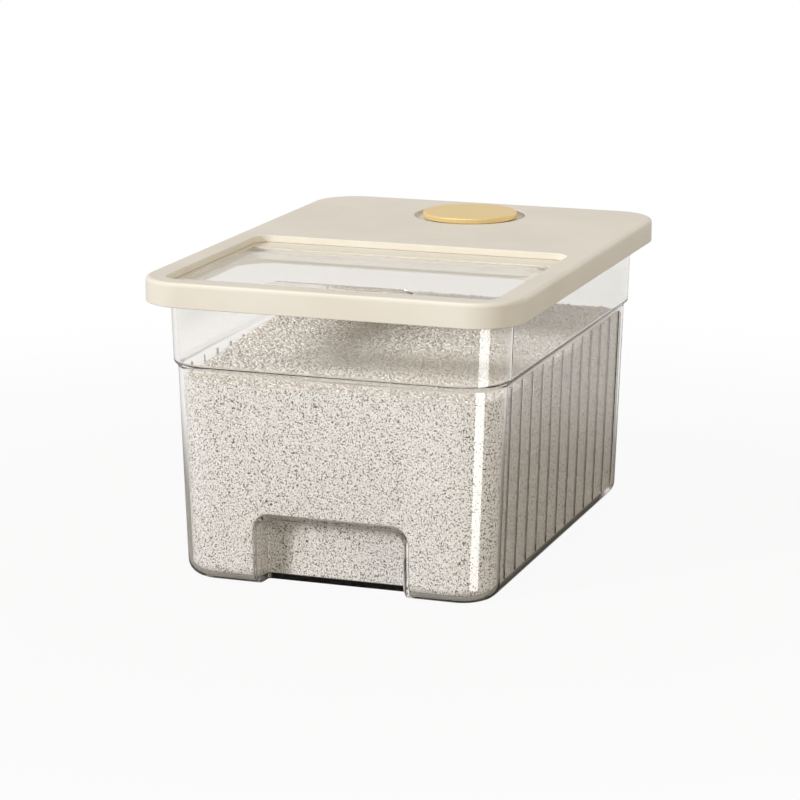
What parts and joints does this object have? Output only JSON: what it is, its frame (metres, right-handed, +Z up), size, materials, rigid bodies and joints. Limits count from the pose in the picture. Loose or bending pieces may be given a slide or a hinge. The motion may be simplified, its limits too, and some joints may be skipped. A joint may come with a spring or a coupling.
{
  "type": "rice storage container",
  "caption": "Clear rectangular rice bin with grooved sides and hand grips, a cream lift-off lid with a hinged clear flap, and a round gold cap over a sachet cup.",
  "frame": {"origin": "middle of the lid's outline, on the surface that the tank stands on", "axes": "+X to the right seen from the front, -Y out of the front with the finger lip, +Z up"},
  "size_m": [0.27, 0.381, 0.2157],
  "materials": {
    "clear_plastic": "clear moulded plastic, polished",
    "cream_plastic": "cream moulded plastic, fine satin",
    "gold_cap": "gold-toned satin metal, spun face",
    "soft_seal": "milky soft silicone",
    "steel": "plain stainless steel"
  },
  "bodies": {
    "tank": {"tank": "clear_plastic"},
    "lid": {"lid_cover": "cream_plastic", "lid_frame": "cream_plastic", "lid_seal": "soft_seal", "lid_screws": "steel", "flap_seal": "soft_seal", "hinge_pin_left": "steel", "hinge_pin_right": "steel", "sachet_cup": "cream_plastic", "cup_grille": "cream_plastic"},
    "flap": {"flap": "clear_plastic"},
    "cap": {"cap_plate": "gold_cap", "cap_plug": "cream_plastic", "cap_seal": "soft_seal"}
  },
  "joints": [
    {"name": "lid_lift", "type": "slide", "parent": "tank", "child": "lid", "axis": [0, 0, 1], "range_m": [0, 0.06]},
    {"name": "flap_hinge", "type": "hinge", "parent": "lid", "child": "flap", "pos_m": [0, -0.02647, 0.2044], "axis": [-1, 0, 0], "range_deg": [0, 110]},
    {"name": "cap_lift", "type": "slide", "parent": "lid", "child": "cap", "axis": [0, 0, 1], "range_m": [0, 0.03]}
  ]
}
